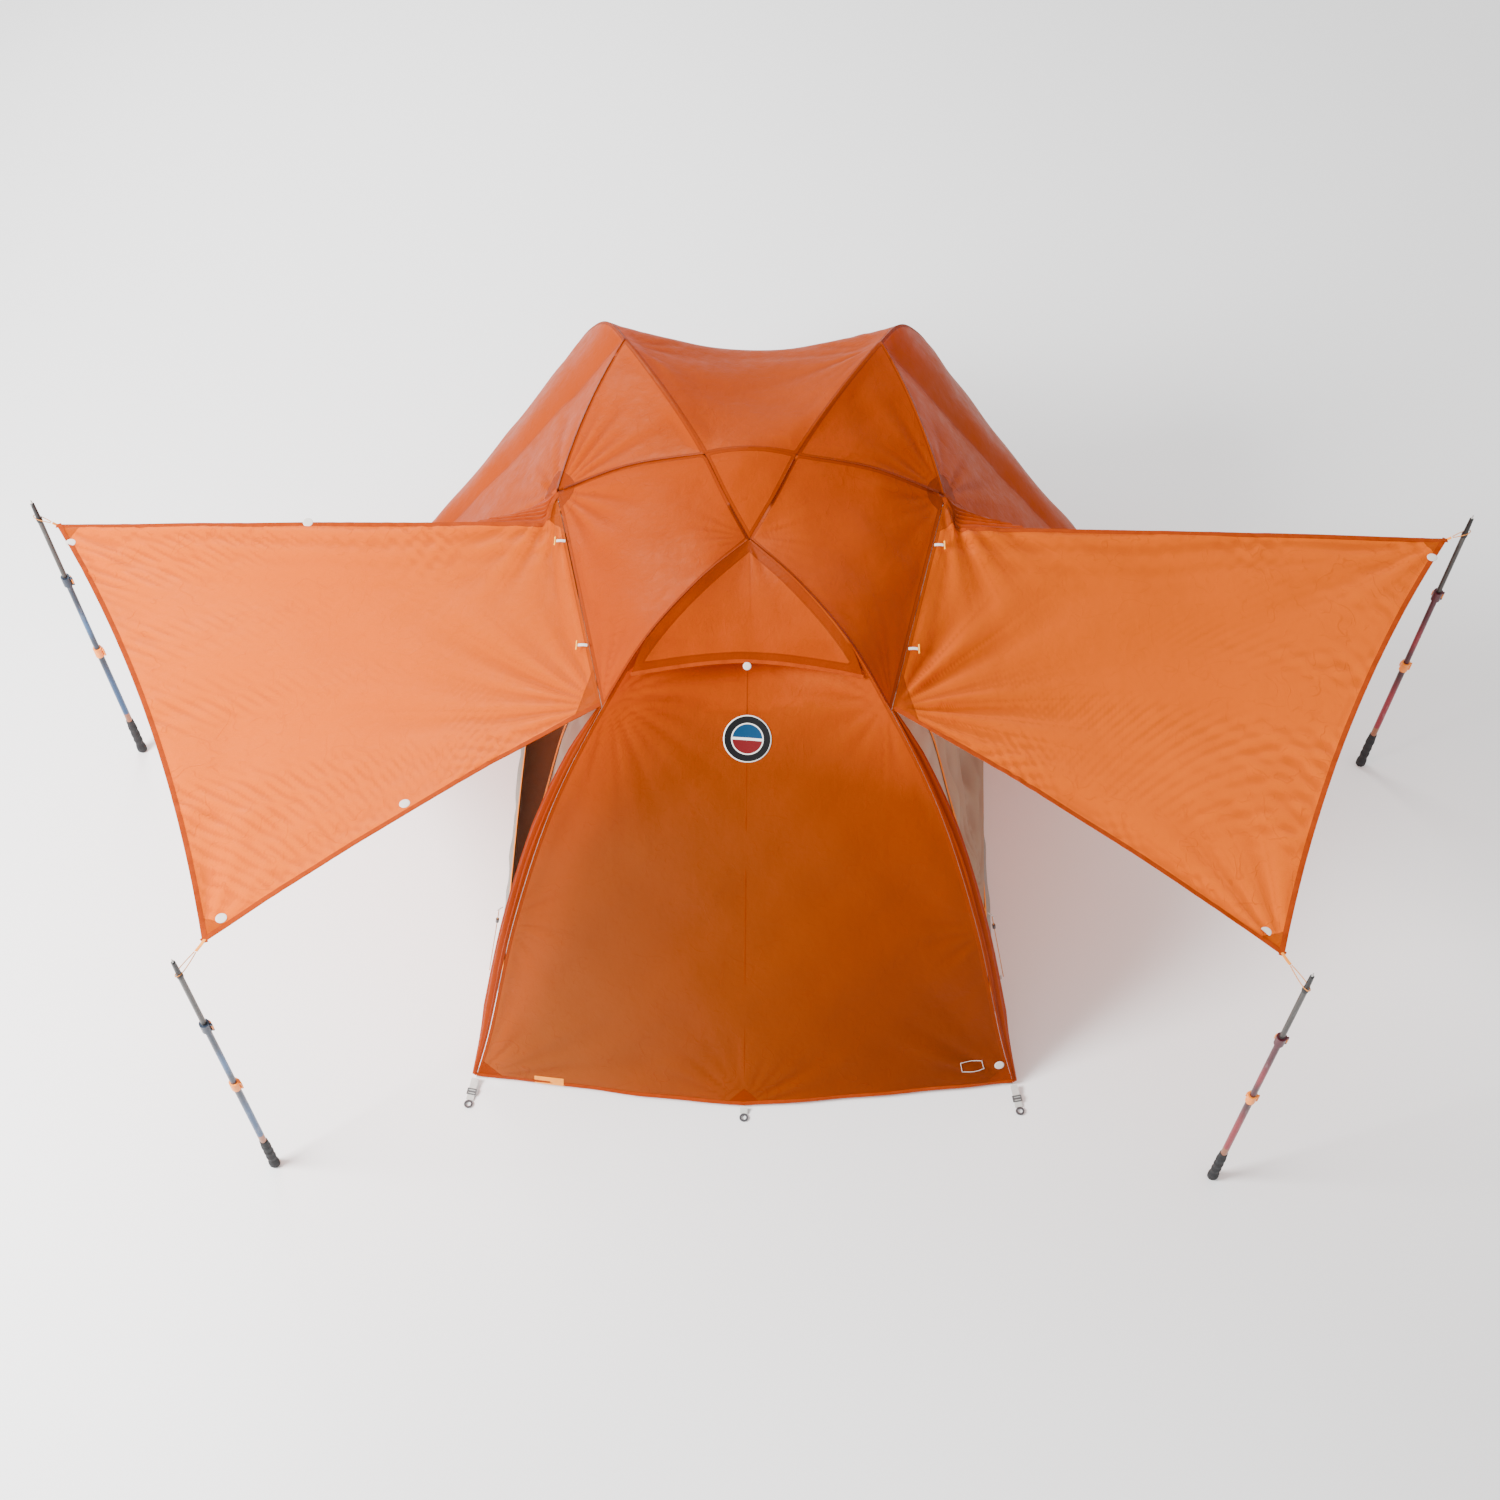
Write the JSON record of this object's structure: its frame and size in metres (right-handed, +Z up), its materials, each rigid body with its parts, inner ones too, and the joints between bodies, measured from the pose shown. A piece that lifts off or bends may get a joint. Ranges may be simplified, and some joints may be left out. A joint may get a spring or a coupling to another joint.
{
  "type": "frame tent",
  "caption": "Freestanding double-wall camping tent with crossed hub poles, pitched with both side doors raised as awnings on upturned trekking poles.",
  "frame": {"origin": "Centre of the floor's underside, on the ground.", "axes": "+X across the tent towards its right-hand door, +Y from the foot to the head, +Z up."},
  "size_m": [3.8375, 2.7254, 1.221],
  "materials": {
    "fly_fabric": "translucent silicone-coated ripstop",
    "edge_tape": "doubled hem and seam tape",
    "inner_fabric": "light breathable ripstop",
    "floor_fabric": "coated floor cloth",
    "webbing": "woven grosgrain and webbing",
    "orange_cord": "braided cord",
    "badge_print": "printed patch",
    "pole_alloy": "anodised tube",
    "dark_plastic": "moulded",
    "grip_foam": "moulded foam",
    "pole_paint": "painted tube",
    "lock_orange": "moulded"
  },
  "bodies": {
    "tent": {"pole_hub": "pole_alloy", "foot_pole_left": "pole_alloy", "foot_pole_right": "pole_alloy", "head_pole_left": "pole_alloy", "head_pole_right": "pole_alloy", "brow_pole": "pole_alloy", "pole_ferrules": "pole_alloy", "pole_clips": "dark_plastic", "pole_tips": "dark_plastic", "corner_grommets": "dark_plastic", "floor_tub": "floor_fabric", "inner_foot_wall": "inner_fabric", "inner_head_wall": "inner_fabric", "inner_roof": "inner_fabric", "inner_side_left": "inner_fabric", "inner_side_right": "inner_fabric", "inner_door_right": "inner_fabric", "rolled_door_left": "inner_fabric", "fly_top": "fly_fabric", "fly_roof_centre": "fly_fabric", "fly_roof_left": "fly_fabric", "fly_roof_right": "fly_fabric", "fly_foot_wall": "fly_fabric", "fly_head_wall": "fly_fabric", "vestibule_left": "fly_fabric", "vestibule_right": "fly_fabric", "storm_flap_left": "edge_tape", "storm_flap_right": "edge_tape", "vent_hood": "fly_fabric", "vent_strut": "webbing", "badge": "badge_print", "stake_straps": "webbing", "strap_buckles": "dark_plastic", "stake_rings": "dark_plastic", "guyline_left": "orange_cord", "guyline_right": "orange_cord", "toggles": "orange_cord", "trekking_grips": "grip_foam", "upper_shafts": "pole_paint", "upper_clamps": "lock_orange"},
    "door_left": {"awning_left": "fly_fabric", "corner_loops_left": "orange_cord"},
    "door_right": {"awning_right": "fly_fabric", "corner_loops_right": "orange_cord"},
    "middle_rear_left": {"middle_shaft_rear_left": "pole_paint"},
    "lower_rear_left": {"lower_shaft_rear_left": "pole_paint"},
    "upper_lock_rear_left": {"upper_lever_rear_left": "lock_orange"},
    "lower_lock_rear_left": {"lower_lever_rear_left": "lock_orange"},
    "middle_front_left": {"middle_shaft_front_left": "pole_paint"},
    "lower_front_left": {"lower_shaft_front_left": "pole_paint"},
    "upper_lock_front_left": {"upper_lever_front_left": "lock_orange"},
    "lower_lock_front_left": {"lower_lever_front_left": "lock_orange"},
    "middle_rear_right": {"middle_shaft_rear_right": "pole_paint"},
    "lower_rear_right": {"lower_shaft_rear_right": "pole_paint"},
    "upper_lock_rear_right": {"upper_lever_rear_right": "lock_orange"},
    "lower_lock_rear_right": {"lower_lever_rear_right": "lock_orange"},
    "middle_front_right": {"middle_shaft_front_right": "pole_paint"},
    "lower_front_right": {"lower_shaft_front_right": "pole_paint"},
    "upper_lock_front_right": {"upper_lever_front_right": "lock_orange"},
    "lower_lock_front_right": {"lower_lever_front_right": "lock_orange"}
  },
  "joints": [
    {"name": "door_left_swing", "type": "hinge", "parent": "tent", "child": "door_left", "pos_m": [-0.446, -0.238, 1.036], "axis": [0.2225, -0.9748, 0.0159], "range_deg": [0, 48], "deforming": ["corner_loops_left"]},
    {"name": "door_right_swing", "type": "hinge", "parent": "tent", "child": "door_right", "pos_m": [0.446, -0.238, 1.036], "axis": [0.2225, 0.9748, -0.0159], "range_deg": [0, 48], "deforming": ["corner_loops_right"]},
    {"name": "middle_slide_rear_left", "type": "slide", "parent": "tent", "child": "middle_rear_left", "axis": [0, 0, -1], "range_m": [0, 0.28]},
    {"name": "lower_slide_rear_left", "type": "slide", "parent": "middle_rear_left", "child": "lower_rear_left", "axis": [0, 0, -1], "range_m": [0, 0.22]},
    {"name": "upper_lock_rear_left_flip", "type": "hinge", "parent": "tent", "child": "upper_lock_rear_left", "pos_m": [-1.8838, -0.03, 0.5], "axis": [0, 0, -1], "range_deg": [0, 105]},
    {"name": "lower_lock_rear_left_flip", "type": "hinge", "parent": "middle_rear_left", "child": "lower_lock_rear_left", "pos_m": [-1.8838, -0.03, 0.82], "axis": [0, 0, -1], "range_deg": [0, 105]},
    {"name": "middle_slide_front_left", "type": "slide", "parent": "tent", "child": "middle_front_left", "axis": [0, 0, -1], "range_m": [0, 0.28]},
    {"name": "lower_slide_front_left", "type": "slide", "parent": "middle_front_left", "child": "lower_front_left", "axis": [0, 0, -1], "range_m": [0, 0.22]},
    {"name": "upper_lock_front_left_flip", "type": "hinge", "parent": "tent", "child": "upper_lock_front_left", "pos_m": [-1.2558, -1.397, 0.5], "axis": [0, 0, -1], "range_deg": [0, 105]},
    {"name": "lower_lock_front_left_flip", "type": "hinge", "parent": "middle_front_left", "child": "lower_lock_front_left", "pos_m": [-1.2558, -1.397, 0.82], "axis": [0, 0, -1], "range_deg": [0, 105]},
    {"name": "middle_slide_rear_right", "type": "slide", "parent": "tent", "child": "middle_rear_right", "axis": [0, 0, -1], "range_m": [0, 0.28]},
    {"name": "lower_slide_rear_right", "type": "slide", "parent": "middle_rear_right", "child": "lower_rear_right", "axis": [0, 0, -1], "range_m": [0, 0.22]},
    {"name": "upper_lock_rear_right_flip", "type": "hinge", "parent": "tent", "child": "upper_lock_rear_right", "pos_m": [1.9162, -0.03, 0.5], "axis": [0, 0, -1], "range_deg": [0, 105]},
    {"name": "lower_lock_rear_right_flip", "type": "hinge", "parent": "middle_rear_right", "child": "lower_lock_rear_right", "pos_m": [1.9162, -0.03, 0.82], "axis": [0, 0, -1], "range_deg": [0, 105]},
    {"name": "middle_slide_front_right", "type": "slide", "parent": "tent", "child": "middle_front_right", "axis": [0, 0, -1], "range_m": [0, 0.28]},
    {"name": "lower_slide_front_right", "type": "slide", "parent": "middle_front_right", "child": "lower_front_right", "axis": [0, 0, -1], "range_m": [0, 0.22]},
    {"name": "upper_lock_front_right_flip", "type": "hinge", "parent": "tent", "child": "upper_lock_front_right", "pos_m": [1.2882, -1.397, 0.5], "axis": [0, 0, -1], "range_deg": [0, 105]},
    {"name": "lower_lock_front_right_flip", "type": "hinge", "parent": "middle_front_right", "child": "lower_lock_front_right", "pos_m": [1.2882, -1.397, 0.82], "axis": [0, 0, -1], "range_deg": [0, 105]}
  ]
}
